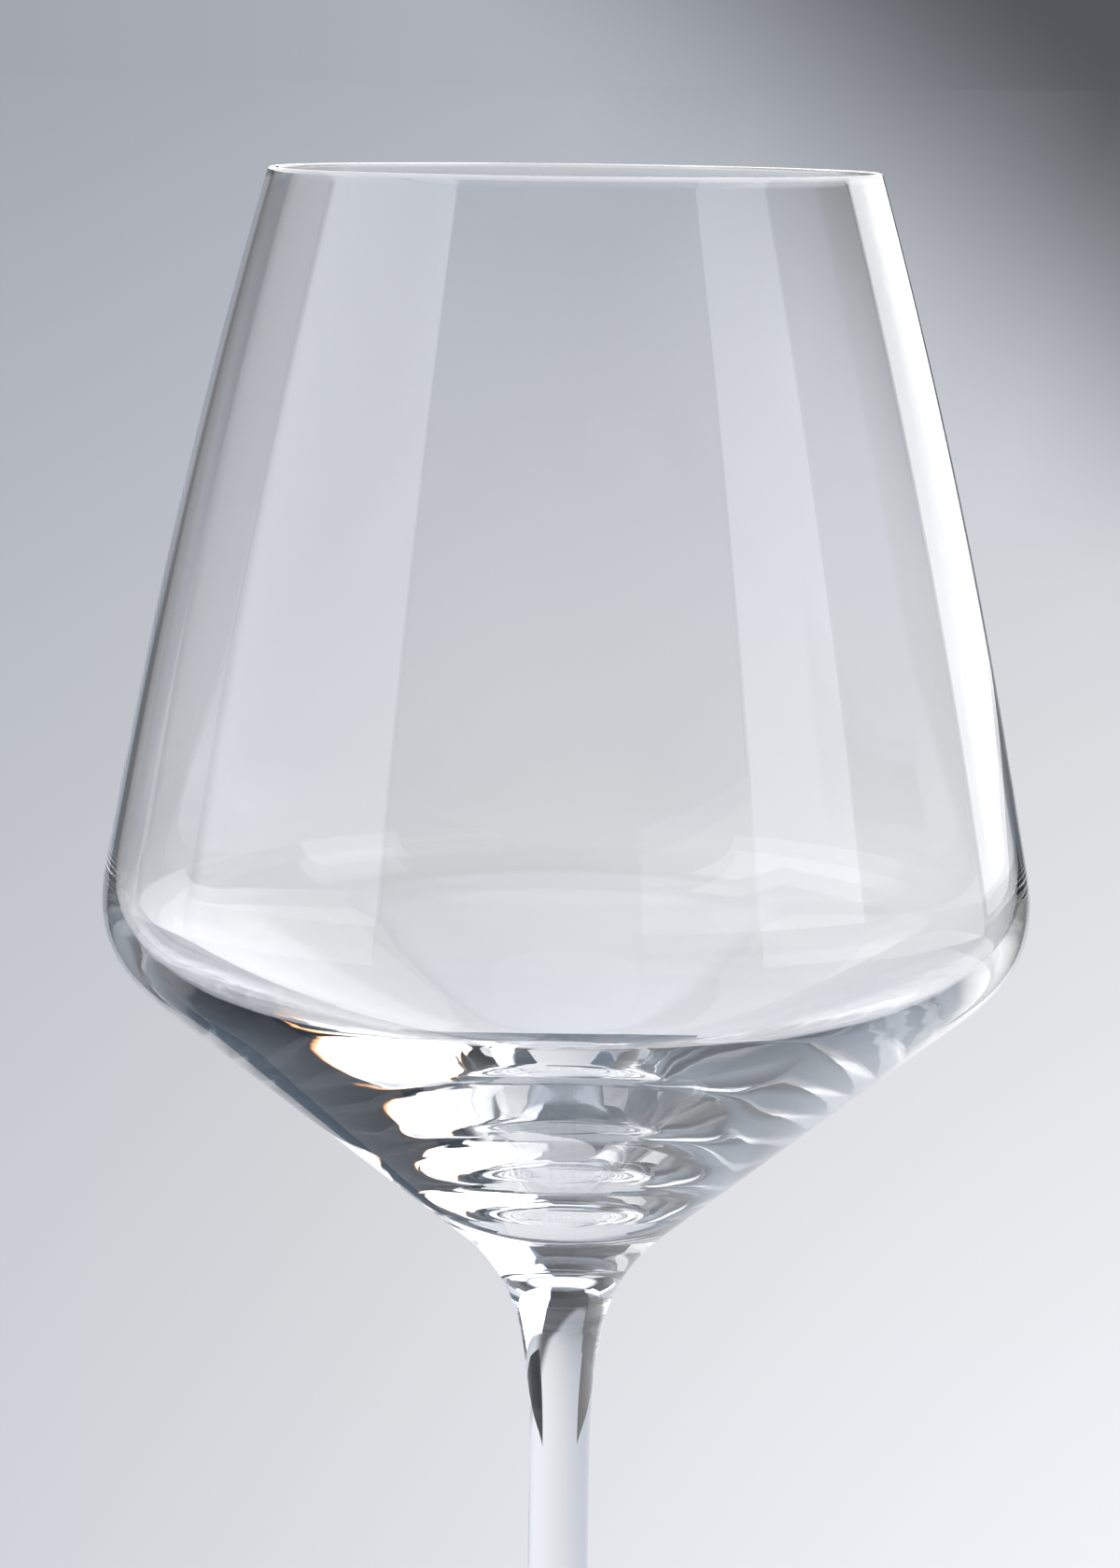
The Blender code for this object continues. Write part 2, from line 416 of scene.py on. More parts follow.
@dataclass
class Bowl(TurnedPiece):
    """The blown bowl: a wall that widens downwards, a rounded shoulder and a thick cone."""

    height: float = 0.23398
    rim_radius: float = 0.0358
    rim_lean: float = math.radians(16.1)
    wall_drop: float = 0.0837
    shoulder_lean: float = math.radians(9.5)
    shoulder_round: float = 0.0128
    cone_slope: float = math.radians(38.5)
    flare_round: float = 0.0205
    rim_wall: float = 0.0008
    shoulder_wall: float = 0.0012
    inner_shoulder_rise: float = 0.0009
    inner_shoulder_round: float = 0.0108
    cone_thickening: float = math.radians(4.35)
    inner_bottom_round: float = 0.0325
    neck_radius: float = 0.00365
    neck_lean: float = math.radians(10.8)
    taper_round: float = 0.069
    weld_lean: float = math.radians(23.0)
    rim_step: float = 0.00009
    melt_width: float = 0.0035
    melt_zone: tuple[float, float] = (0.124, 0.174)
    melt_taper: float = 0.008
    glass: BlownGlass = BlownGlass("blown_bowl_glass", ripple_height_mm=0.009, ring_height_mm=0.0015)

    @property
    def cone_lean(self) -> float:
        """The lean of the outside of the cone."""
        return self.cone_slope - QUARTER_TURN

    @property
    def inner_cone_lean(self) -> float:
        """The lean of the inside of the cone, which is less steep than the outside."""
        return self.cone_lean - self.cone_thickening

    def rim_centre(self) -> np.ndarray:
        """The centre of the rim's round edge."""
        return np.array([self.rim_radius - self.rim_wall / 2, self.height - self.rim_wall / 2])

    def wall(self, along: np.ndarray) -> tuple[np.ndarray, np.ndarray]:
        """The outside of the leaning wall, which is a long arc between two leans.

        Args:
            along: Shares of the way from the rim to the shoulder.

        Returns:
            The points and their leans.
        """
        start = self.rim_centre() + square_to(self.rim_lean) * self.rim_wall / 2
        leans = self.rim_lean + (self.shoulder_lean - self.rim_lean) * along
        wall_round = self.wall_drop / (math.sin(self.rim_lean) - math.sin(self.shoulder_lean))
        across = wall_round * (np.cos(leans) - math.cos(self.rim_lean))
        rise = -wall_round * (math.sin(self.rim_lean) - np.sin(leans))
        return start + np.column_stack([across, rise]), leans

    def outside(self) -> np.ndarray:
        """Points from below the rim down to the weld: wall, shoulder, cone and flare."""
        shares = np.linspace(0.0, 1.0, math.ceil(self.wall_drop / self.step) + 1)[1:]
        wall, _ = self.wall(shares)
        shoulder = arc(wall[-1], self.shoulder_lean, self.cone_lean, self.shoulder_round, self.step / 2)
        flare_radius = (
            self.neck_radius
            + self.taper_round * (1 - math.cos(self.neck_lean))
            + self.flare_round * (math.cos(self.neck_lean) - math.cos(self.cone_lean))
        )
        fall = (shoulder[-1, 0] - flare_radius) * math.tan(self.cone_slope)
        cone = run(shoulder[-1], np.array([flare_radius, shoulder[-1, 1] - fall]), self.step)
        flare = arc(cone[-1], self.cone_lean, -self.weld_lean, self.flare_round, self.step / 2)
        weld = flare[-1] + WELD_HALF_GAP
        above = melted(np.vstack([wall, shoulder, cone]), self.melt_width, self.melt_zone, self.melt_taper)
        return np.vstack([above, flare[:-1], close_ring(weld, flare[-2]), [weld]])

    def inside(self) -> np.ndarray:
        """Points from below the rim down the inside to the middle of the bowl's bottom."""
        end = 1.0 - self.inner_shoulder_rise / self.wall_drop
        shares = np.linspace(0.0, end, math.ceil(self.wall_drop / self.step) + 1)[1:]
        wall, leans = self.wall(shares)
        thickness = self.rim_wall + (self.shoulder_wall - self.rim_wall) * shares
        wall = wall - square_to(leans) * thickness[:, None]
        shoulder = arc(
            wall[-1], float(leans[-1]), self.inner_cone_lean, self.inner_shoulder_round, self.step / 2
        )
        bottom_radius = self.inner_bottom_round * math.cos(self.inner_cone_lean)
        fall = (bottom_radius - shoulder[-1, 0]) / math.tan(self.inner_cone_lean)
        cone = run(shoulder[-1], np.array([bottom_radius, shoulder[-1, 1] - fall]), self.step)
        bottom = arc(cone[-1], self.inner_cone_lean, -QUARTER_TURN, self.inner_bottom_round, self.step / 2)
        above = melted(np.vstack([wall, shoulder, cone]), self.melt_width, self.melt_zone, self.melt_taper)
        return np.vstack([above, bottom])

    def rim(self) -> np.ndarray:
        """Points over the rim's round edge, from the inside to the outside: half a circle."""
        count = math.ceil(math.pi * self.rim_wall / 2 / self.rim_step)
        leans = np.linspace(self.rim_lean + math.pi, self.rim_lean, count + 1)
        return self.rim_centre() + square_to(leans) * self.rim_wall / 2

    def profile(self) -> np.ndarray:
        """Points up the inside, over the rim, down the outside and across the weld face."""
        outside = self.outside()
        weld_middle = np.array([[0.0, outside[-1, 1]]])
        return np.vstack([self.inside()[::-1], self.rim(), outside, weld_middle])

    def build(self) -> bpy.types.Object:
        """Add the bowl, whose last ring bounds its weld face."""
        profile = self.profile()
        return self.add(Piece.BOWL, profile, (len(profile) - 2,), self.glass)


@dataclass
class Foot(TurnedPiece):
    """The pressed foot: a low disc with a flare up to the stem and a slightly hollow underside."""

    radius: float = 0.042
    edge: float = 0.0018
    edge_rings: int = 32
    slope: float = math.radians(7.0)
    flare_round: float = 0.014
    weld_lean: float = math.radians(30.0)
    rest_ring_width: float = 0.0045
    underside_hollow: float = 0.0018
    neck_radius: float = 0.00365
    glass: BlownGlass = BlownGlass("pressed_foot_glass", wave_mm=16.0, wave_height_mm=0.008)

    @property
    def disc_lean(self) -> float:
        """The lean of the disc's upper side."""
        return QUARTER_TURN - self.slope

    def edge_points(self, leans: Any) -> np.ndarray:
        """The points with these leans on the foot's round edge, which stands on the floor."""
        edge_round = self.edge / 2
        return np.array([self.radius - edge_round, edge_round]) + square_to(leans) * edge_round

    def weld_point(self) -> np.ndarray:
        """The edge of the weld face on top of the foot, found up the flare from the disc."""
        edge = self.edge_points(self.disc_lean)
        flare_end = self.neck_radius + self.flare_round * (1 - math.cos(self.disc_lean))
        height = edge[1] + (edge[0] - flare_end) * math.tan(self.slope)
        across = self.flare_round * (math.cos(self.weld_lean) - math.cos(self.disc_lean))
        rise = self.flare_round * (math.sin(self.disc_lean) - math.sin(self.weld_lean))
        return np.array([flare_end - across, height + rise])

    def underside(self, start: np.ndarray) -> np.ndarray:
        """The hollow under the foot: a shallow cap of a sphere from the rest ring to the axis.

        Args:
            start: The inner edge of the rest ring.

        Returns:
            The points after the start.
        """
        hollow_round = (start[0] ** 2 + self.underside_hollow**2) / (2 * self.underside_hollow)
        angles = np.linspace(math.asin(start[0] / hollow_round), 0.0, math.ceil(start[0] / self.step))[1:]
        rise = self.underside_hollow - hollow_round * (1 - np.cos(angles))
        return np.column_stack([hollow_round * np.sin(angles), rise])

    def profile(self) -> np.ndarray:
        """Points from the weld face over the flare, disc and edge, and under to the axis."""
        weld = self.weld_point()
        flare = arc(weld, self.weld_lean, self.disc_lean, self.flare_round, self.step / 2)
        disc = run(flare[-1], self.edge_points(self.disc_lean), self.step)
        edge = self.edge_points(np.linspace(self.disc_lean, -QUARTER_TURN, self.edge_rings + 1)[1:])
        ring = run(edge[-1], edge[-1] - [self.rest_ring_width, 0.0], self.step)
        under = self.underside(ring[-1])
        weld = weld - WELD_HALF_GAP
        top = np.vstack([[0.0, weld[1]], weld, close_ring(weld, flare[0])])
        return np.vstack([top, flare, disc, edge, ring, under])

    def build(self) -> bpy.types.Object:
        """Add the foot, whose first ring bounds its weld face."""
        return self.add(Piece.FOOT, self.profile(), (1,), self.glass)


@dataclass
class Stem(TurnedPiece):
    """The drawn stem: a flare under the bowl, a long taper, a shaft and a flare to the foot."""

    bowl: Bowl = field(default_factory=Bowl)
    foot: Foot = field(default_factory=Foot)
    glass: BlownGlass = BlownGlass("drawn_stem_glass", wave_mm=18.0, wave_height_mm=0.005)

    def profile(self) -> np.ndarray:
        """Points from the bowl's weld face down the outside to the foot's weld face."""
        bowl, foot = self.bowl, self.foot
        top = bowl.outside()[-1] - WELD_HALF_GAP
        end = foot.weld_point()
        neck = arc(top, -bowl.weld_lean, -bowl.neck_lean, bowl.flare_round, self.step / 2)
        taper = arc(neck[-1], -bowl.neck_lean, 0.0, bowl.taper_round, self.step)
        shaft_end = np.array([bowl.neck_radius, end[1] + foot.flare_round * math.sin(foot.weld_lean)])
        shaft = run(taper[-1], shaft_end, self.step)
        flare = arc(shaft[-1], 0.0, foot.weld_lean, foot.flare_round, self.step / 2)
        top, end = top - WELD_HALF_GAP, end + WELD_HALF_GAP
        return np.vstack(
            [
                [[0.0, top[1]]],
                [top],
                close_ring(top, neck[0]),
                neck,
                taper,
                shaft,
                flare[:-1],
                close_ring(end, flare[-2]),
                [end],
                [[0.0, end[1]]],
            ]
        )

    def build(self) -> bpy.types.Object:
        """Add the stem, whose first and last rings bound its weld faces."""
        profile = self.profile()
        return self.add(Piece.STEM, profile, (1, len(profile) - 2), self.glass)


# Studio


def ring_faces(rings: int, around: int, closed: bool) -> np.ndarray:
    """Corner numbers of the four-sided faces between rows of points.

    Args:
        rings: How many rows there are.
        around: How many points each row has.
        closed: True if the last point of a row joins the first.

    Returns:
        One row of four corners for each face.
    """
    numbers = np.arange(rings * around).reshape(rings, around)
    after = np.roll(numbers, -1, axis=1)
    faces = np.stack([numbers[:-1], numbers[1:], after[1:], after[:-1]], axis=-1)
    return (faces if closed else faces[:, :-1]).reshape(-1, 4)


def stage_object(
    name: str,
    points: np.ndarray,
    faces: np.ndarray,
    light: np.ndarray,
    finish: bpy.types.Material,
    hidden: tuple[str, ...] = (),
) -> bpy.types.Object:
    """Add a mesh that isn't part of the glass, with a colour on each of its points.

    Args:
        name: The object's name.
        points: One row of X, Y and Z for each point.
        faces: One row of corner numbers for each face.
        light: One row of linear red, green, blue and alpha for each point.
        finish: Its material.
        hidden: The kinds of rays that pass it unseen.

    Returns:
        The new object.
    """
    mesh = bpy.data.meshes.new(name + "_shape")
    mesh.from_pydata(points.tolist(), [], faces.tolist())
    shade = mesh.attributes.new("shade", "FLOAT_COLOR", "POINT")
    shade.data.foreach_set("color", light.astype(np.float32).ravel())
    mesh.materials.append(finish)
    made = bpy.data.objects.new(name, mesh)
    for ray in hidden:
        setattr(made, "visible_" + ray, False)
    bpy.context.scene.collection.objects.link(made)
    return made


def bare_material(name: str) -> bpy.types.Material:
    """Add a material without nodes."""
    made = bpy.data.materials.new(name)
    made.use_nodes = True
    made.node_tree.nodes.clear()
    return made


def smooth(values: np.ndarray, low: float, high: float) -> np.ndarray:
    """A soft step: 0 below low, 1 above high, and three squares less two cubes between."""
    share = np.clip((values - low) / (high - low), 0.0, 1.0)
    return share * share * (3 - 2 * share)


@dataclass(frozen=True)
class Rule:
    """Which light meets a screen or card: how often glass has bent it, and what else is true.

    The needs are "mirrored", where the glass has mirrored the light, "from_base", where it met
    the glass below the collar, and "turned", where it is either or no glass has bent it.
    """

    finish: str
    fewest_bends: int = 0
    most_bends: int = MOST_BOUNCES
    needs: tuple[str, ...] = ()


class Seen(Enum):
    """Which light from the glass meets a screen or card; the rest passes it."""

    ALWAYS = Rule("lit_screen", needs=("turned",))
    MIRRORED = Rule("mirrored_screen", most_bends=0)
    BENT = Rule("painted_shade_card", needs=("turned",))
    INSIDE = Rule("inner_screen", 1, 3, ("mirrored", "from_base"))
    THROUGH = Rule("through_card", 4, needs=("turned",))
    RIM = Rule("rim_card", most_bends=3)
    EDGE = Rule("edge_card", 1, 3, ("mirrored",))


@dataclass(frozen=True)
class Panel:
    """A bent screen round the glass, bright or grey, which the camera doesn't see itself.

    Azimuths count from the camera's side of the glass, positive to the camera's right.  Each
    stop across is an azimuth in degrees, the light there and, where it isn't white, its colour.
    Each stop upward is a height in metres and a share of that light.  The first and the last
    edge may lean: their stops are a height and an azimuth.
    """

    name: str
    across: tuple[tuple[Any, ...], ...]
    upward: tuple[tuple[float, float], ...]
    first_edge: tuple[tuple[float, float], ...] = ()
    last_edge: tuple[tuple[float, float], ...] = ()
    distance: float = 1.2
    seen: Seen = Seen.ALWAYS
    columns: int = 61
    rows: int = 31

    def build(self, finish: bpy.types.Material) -> bpy.types.Object:
        """Add the screen: a stretch of a cylinder about the axis of the glass.

        The light of a point is the product of the light at its azimuth and the share at its
        height, each taken straight between the stops.

        Args:
            finish: The glowing finish.

        Returns:
            The new object.
        """
        turns = np.array([stop[0] for stop in self.across])
        lights = np.array([np.array(linear(*stop[2:])) * stop[1] for stop in self.across])
        heights, shares = np.array(self.upward).T
        azimuth = np.unique(np.concatenate([turns, np.linspace(turns[0], turns[-1], self.columns)]))
        height = np.unique(np.concatenate([heights, np.linspace(heights[0], heights[-1], self.rows)]))
        first, last = (
            np.interp(height, *np.array(edge or ((0.0, turns[end]),)).T)[:, None]
            for edge, end in ((self.first_edge, 0), (self.last_edge, -1))
        )
        turn = np.radians(first + (last - first) * (azimuth - turns[0]) / (turns[-1] - turns[0]))
        rise = np.broadcast_to(height[:, None], turn.shape)
        points = np.stack([np.sin(turn) * self.distance, -np.cos(turn) * self.distance, rise], axis=-1)
        colour = np.stack([np.interp(azimuth, turns, channel) for channel in lights.T], axis=-1)
        light = np.interp(height, heights, shares)[:, None, None] * colour[None, :, :]
        faces = ring_faces(len(height), len(azimuth), closed=False)
        points, light = points.reshape(-1, 3), light.reshape(-1, 4)
        return stage_object(self.name, points, faces, light, finish, ("camera", "shadow"))


@dataclass(frozen=True)
class Card:
    """A dark or grey card of painted shade just above the floor, which only the glass sees: it darkens
    what the glass mirrors and bends, while the camera sees the pale floor there.

    Each corner is X, Y and the light there.
    """

    name: str
    corners: tuple[tuple[float, float, float], ...]
    lift: float = 0.001
    seen: Seen = Seen.BENT
    colour: str = WHITE

    def build(self, finish: bpy.types.Material) -> bpy.types.Object:
        """Add the card.

        Args:
            finish: The glowing finish, which is black where the light is nought.

        Returns:
            The new object.
        """
        corners = np.array(self.corners)
        points = np.column_stack([corners[:, :2], np.full(len(corners), self.lift)])
        light = corners[:, 2:] * np.array(linear(self.colour))
        face = np.arange(len(corners))[None, :]
        return stage_object(self.name, points, face, light, finish, ("camera", "diffuse", "shadow"))


@dataclass
class Studio:
    """The plain room round the glass: a pale floor whose painted light fades to grey with distance, and
    soft lights.

    The screens and cards show up only in the glass, each for the light that its rule names.  A
    path of light counts the clear layers that it passes, and unseen screens count as layers.
    The collar is a clear, pleated sheet at the height of the shoulder, which only the straight
    sight from the camera to the glass passes.  It has more layers than a path can pass screens,
    so a higher count marks the light of the cone, the stem and the foot.  The halo is a thin
    ring light over the rim.
    """

    # Floor, whose light is given in shares of near and side, as falloff explains
    floor_hub: float = 0.0005
    floor_start: float = 0.01
    floor_radius: float = 60.0
    floor_rings: int = 110
    floor_segments: int = 180
    fade_distance: float = 0.6
    far_light: float = 0.463
    near_gain: float = 0.576
    near_curve: float = -0.177
    side_gain: float = 0.143
    side_near_gain: float = 0.101
    side_width: float = 0.184
    corner: tuple[float, float] = (-0.018, 0.109)
    corner_depth: float = 0.822
    corner_tilt: float = 0.481
    corner_end: tuple[float, float] = (0.25, 0.45)
    far_tint: tuple[float, float, float] = (0.95, 1.0, 1.11)
    near_tint: tuple[float, float, float] = (0.99, 1.0, 1.04)
    tint_near: float = 0.35
    tint_lean: float = 0.15
    tint_side: tuple[float, float] = (-0.125, 0.065)
    matt_share: float = 0.35
    matt_reach: tuple[float, float] = (0.45, 0.8)
    matt_light: float = 0.97

    # Collar and halo
    collar_reach: tuple[float, float] = (0.0552, 1.1)
    collar_height: float = 0.153
    collar_layers: int = 8
    layer_gap: float = 0.0001
    halo: tuple[tuple[float, float], ...] = ((0.0352, 0.2342), (0.037, 0.2342))
    halo_light: float = 2.6

    # World, whose limits are sines of the height above the horizon and shares of side
    gloom: float = 0.05
    ceiling: float = 1.3
    ceiling_edge: tuple[float, float] = (math.radians(57.0), math.radians(64.0))
    eye_height: float = 0.246
    least_behind: float = 0.01
    window_sides: tuple[float, float] = (0.38, 0.46)
    window_top: tuple[float, float] = (0.20, 0.28)
    plain_top: tuple[float, float] = (0.3, 0.5)

    # Screens and cards
    panels: tuple[Panel, ...] = (
        Panel(
            "left_diffuser",
            (
                (-156.0, 0.14), (-140.0, 0.18), (-131.0, 0.16), (-124.0, 0.30), (-112.0, 0.50),
                (-104.0, 0.60), (-100.0, 1.65, COOL_WHITE), (-46.0, 1.75, COOL_WHITE),
            ),
            ((0.02, 1.0), (0.85, 1.0)),
        ),
        # Painted reflection: a brighter stretch in front of the left diffuser, which only light that no
        # glass has bent meets
        Panel(
            "left_wall",
            ((-131.0, 0.5), (-124.0, 1.1), (-112.0, 1.3), (-104.0, 1.3)),
            ((0.02, 1.0), (0.85, 1.0)),
            distance=1.19,
            seen=Seen.MIRRORED,
        ),
        Panel("left_top", ((-66.0, 1.9), (-46.0, 1.9)), ((0.86, 1.0), (1.75, 1.0))),
        Panel("rear_left_top", ((-160.0, 0.9), (-137.0, 0.9)), ((0.86, 1.0), (2.0, 1.0))),
        Panel(
            "front_wall",
            ((-45.5, 0.75), (46.5, 0.9)),
            ((0.0, 0.9), (0.45, 0.9), (0.6, 0.75), (0.74, 0.45), (0.86, 0.08)),
        ),
        Panel(
            "low_window",
            ((18.0, 1.3), (47.0, 1.3)),
            ((0.25, 1.0), (0.4, 1.0)),
            distance=1.19,
        ),
        Panel(
            "right_diffuser",
            ((47.0, 1.0, COOL_WHITE), (77.0, 1.0, COOL_WHITE)),
            ((0.05, 2.1), (0.45, 2.2), (0.62, 1.9), (0.85, 1.1)),
        ),
        # Painted reflection: a bright stretch which only light that no glass has bent meets
        Panel(
            "right_wall",
            ((77.0, 1.9), (121.0, 1.5)),
            ((0.0, 1.0), (0.5, 1.0), (0.85, 0.2)),
            seen=Seen.MIRRORED,
        ),
        # The strip's blue end is a painted colour fringe that stands in for the glass's dispersion
        Panel(
            "rear_strip",
            (
                (122.5, 0.3, "f4f2ff"), (123.1, 1.0), (159.4, 1.0), (159.7, 0.8, "a6c4ff"),
                (160.0, 0.2, "4a78ff"),
            ),
            ((0.09, 1.7), (0.3, 2.3), (0.5, 2.8), (1.15, 2.5), (1.3, 1.7), (2.1, 1.5)),
            ((0.5, 122.7), (0.7, 119.0), (0.92, 112.0), (1.3, 106.0), (2.1, 102.0)),
            ((0.06, 160.0), (0.25, 166.0), (0.57, 172.0)),
        ),
        # Painted light and shade in the cone and stem: a screen in front of the left diffuser, which only
        # light that the glass mirrored there meets
        Panel(
            "left_screen",
            (
                (-131.0, 0.2, PALE_BLUE), (-124.0, 0.27, PALE_BLUE), (-117.0, 0.33, PALE_BLUE),
                (-111.0, 0.42, PALE_BLUE), (-105.0, 0.44, PALE_BLUE), (-99.0, 0.36, PALE_BLUE),
                (-94.0, 0.3, PALE_BLUE), (-90.0, 0.65), (-84.0, 1.05), (-79.0, 1.2), (-72.0, 0.95),
                (-66.0, 0.55), (-60.0, 0.35), (-40.0, 0.35),
            ),
            ((0.0, 1.0), (0.45, 1.0), (0.7, 0.5), (1.6, 0.35)),
            distance=1.16,
            seen=Seen.INSIDE,
        ),
        # Painted shade in the cone and stem: a dark slate screen in front of the lights on the right,
        # which only light that the glass mirrored there meets
        Panel(
            "right_screen",
            (
                (16.0, 0.5, "e8f0ff"), (24.0, 0.2, "e8f0ff"), (58.0, 0.1, SLATE),
                (64.0, 0.18, SLATE), (70.0, 0.3, SLATE), (74.0, 0.3, SLATE), (79.0, 0.2, SLATE),
                (83.0, 0.07, SLATE), (90.0, 0.03, SLATE), (96.0, 0.012, SLATE),
                (122.0, 0.012, SLATE),
            ),
            ((0.0, 1.0), (0.85, 1.0)),
            last_edge=(*STRIP_EDGE, (0.85, 110.0)),
            distance=1.16,
            seen=Seen.INSIDE,
        ),
        # Painted light in the cone and stem, which only light that the glass mirrored there meets: the
        # strip's edge, whose orange is a painted colour fringe for the glass's dispersion
        Panel(
            "strip_side",
            ((121.5, 0.3, "ff8a3c"), (121.9, 0.9, "ffcf9a"), (122.3, 1.0), (124.0, 1.0)),
            ((0.12, 1.8), (0.3, 2.3), (0.5, 2.8), (0.92, 2.6)),
            (*STRIP_EDGE, (0.92, 108.0)),
            ((0.12, 124.0), (0.92, 124.0)),
            distance=1.16,
            seen=Seen.INSIDE,
        ),
    )
    # Painted shade: dark and grey cards that only the glass mirrors and bends
    cards: tuple[Card, ...] = (
        Card(
            "right_painted_shade",
            ((0.124, 0.265, 0.03), (1.6, 0.265, 0.03), (1.6, 1.6, 0.03), (0.746, 1.6, 0.03)),
        ),
        Card(
            "left_painted_shade",
            ((-0.129, 0.265, 0.12), (-0.78, 1.6, 0.12), (-1.6, 1.6, 0.3), (-1.6, 0.265, 0.3)),
        ),
        Card(
            "left_shade",
            (
                (-0.05, 0.04, 0.2), (0.03, 0.085, 0.2), (0.03, 0.155, 0.2), (-0.3, 0.17, 0.2),
                (-0.3, -0.05, 0.2),
            ),
            lift=0.0015,
            seen=Seen.THROUGH,
            colour=SLATE,
        ),
        Card(
            "left_mirrored",
            ((-0.03, 0.03, 0.4), (-0.05, 0.24, 0.4), (-0.35, 0.24, 0.4), (-0.35, -0.1, 0.4)),
            lift=0.0015,
            seen=Seen.MIRRORED,
            colour=SLATE,
        ),
        Card(
            "left_edge",
            ((-0.101, 0.438, 0.25), (-0.675, 2.92, 0.25), (-1.36, 2.67, 0.25), (-0.204, 0.401, 0.25)),
            lift=0.0015,
            seen=Seen.EDGE,
            colour=SLATE,
        ),
        Card(
            "right_edge",
            ((0.101, 0.438, 0.12), (0.675, 2.92, 0.12), (1.36, 2.67, 0.12), (0.204, 0.401, 0.12)),
            lift=0.0015,
            seen=Seen.EDGE,
            colour=SLATE,
        ),
    )

    def falloff(self, near: np.ndarray, side: np.ndarray) -> np.ndarray:
        """The light on the floor and behind it.

        It grows with the near share, leans to one side as the hyperbolic tangent of the
        sideways share, and falls away in the far corner on that side, up to the corner's end.

        Args:
            near: The fade distance over itself plus the distance from the glass.
            side: The sideways distance over the same sum.

        Returns:
            The light of each point.
        """
        lean = np.tanh(side / self.side_width)
        light = self.far_light + self.near_gain * near + self.near_curve * near**2
        light = light + self.side_gain * lean + self.side_near_gain * lean * near
        depth = self.corner_depth * smooth(side - self.corner_tilt * near, *self.corner)
        depth = depth * (1 - smooth(side, *self.corner_end))
        return light * (1 - depth)

    def turned(self, radii: np.ndarray, heights: np.ndarray) -> tuple[np.ndarray, np.ndarray]:
        """Turn a line of points about the axis of the glass, as even steps of cosine and sine.

        Args:
            radii: How far each point is from the axis.
            heights: How high each point is.

        Returns:
            The points and the corner numbers of the faces.
        """
        angles = np.arange(self.floor_segments) * (2 * math.pi / self.floor_segments)
        circle = np.stack([np.cos(angles), np.sin(angles), np.ones(len(angles))], axis=-1)
        rows = np.column_stack([radii, radii, heights])
        points = (rows[:, None, :] * circle[None, :, :]).reshape(-1, 3)
        return points, ring_faces(len(radii), self.floor_segments, closed=True)

    def build_floor(self) -> bpy.types.Object:
        """Add the floor: rings about the glass whose radii grow evenly in proportion.

        Returns:
            The floor, with its painted light, its tint and its matt share as an attribute of its points.
        """
        radii = np.geomspace(self.floor_start, self.floor_radius, self.floor_rings)
        points, faces = self.turned(np.array([self.floor_hub, *radii]), np.zeros(self.floor_rings + 1))
        reach = self.fade_distance + np.hypot(points[:, 0], points[:, 1])
        near, side = self.fade_distance / reach, points[:, 0] / reach
        # Painted light: brighter near the glass and towards the right, and darker in the far right corner
        light = self.falloff(near, side)
        # The painted light's tint: the bluer far tint, turning to the near tint close to the glass on the
        # right
        warm = smooth(side + self.tint_lean * near, *self.tint_side)
        warm = np.clip(near / self.tint_near, 0.0, 1.0) * warm
        far_tint, near_tint = np.array(self.far_tint), np.array(self.near_tint)
        tint = far_tint + warm[:, None] * (near_tint - far_tint)
        matt = self.matt_share * smooth(near, *self.matt_reach)
        plain = light / (1 - matt * (1 - self.matt_light))
        shade = np.column_stack([plain[:, None] * tint, matt])
        return stage_object("floor", points, faces, shade, self.floor_material())

    def floor_material(self) -> bpy.types.Material:
        """Make the floor's matt finish, which shows its painted light plainly as a glow and keeps a soft
        shadow.

        Returns:
            The material.
        """
        made = bare_material("pale_floor")
        tree = made.node_tree
        shade = add_node(tree, "Attribute", attribute_name="shade").node.outputs
        matt = add_node(tree, "BsdfDiffuse", {"Color": shade["Color"]})
        plain = add_node(tree, "Emission", {"Color": shade["Color"]})
        path = add_node(tree, "LightPath").node.outputs
        share = path["Is Camera Ray"]
        for ray in ("Is Glossy Ray", "Is Transmission Ray"):
            share = add_node(tree, "Math", (share, path[ray]), operation="MAXIMUM")
        bright = add_node(tree, "Math", (1.0, shade["Alpha"]), operation="SUBTRACT")
        share = add_node(tree, "Math", (share, bright), operation="MULTIPLY")
        add_node(tree, "OutputMaterial", (add_node(tree, "MixShader", (share, matt, plain)),))
        made.cycles.emission_sampling = "NONE"
        return made

    def screen_material(self, rule: Rule) -> bpy.types.Material:
        """Make the glowing finish of the screens and cards, whose light is their own colour.

        Args:
            rule: Which light meets it.  The rest passes.

        Returns:
            The material.
        """
        made = bare_material(rule.finish)
        tree = made.node_tree
        path = add_node(tree, "LightPath").node.outputs
        bends, layers = path["Transmission Depth"], path["Transparent Depth"]
        mirrored = add_node(tree, "Math", (path["Glossy Depth"], BETWEEN_COUNTS), operation="GREATER_THAN")
        from_base = (layers, self.collar_layers - BETWEEN_COUNTS)
        from_base = add_node(tree, "Math", from_base, operation="GREATER_THAN")
        turned = add_node(tree, "Math", (bends, BETWEEN_COUNTS), operation="LESS_THAN")
        for reason in (mirrored, from_base):
            turned = add_node(tree, "Math", (turned, reason), operation="MAXIMUM")
        tests = {"mirrored": mirrored, "from_base": from_base, "turned": turned}

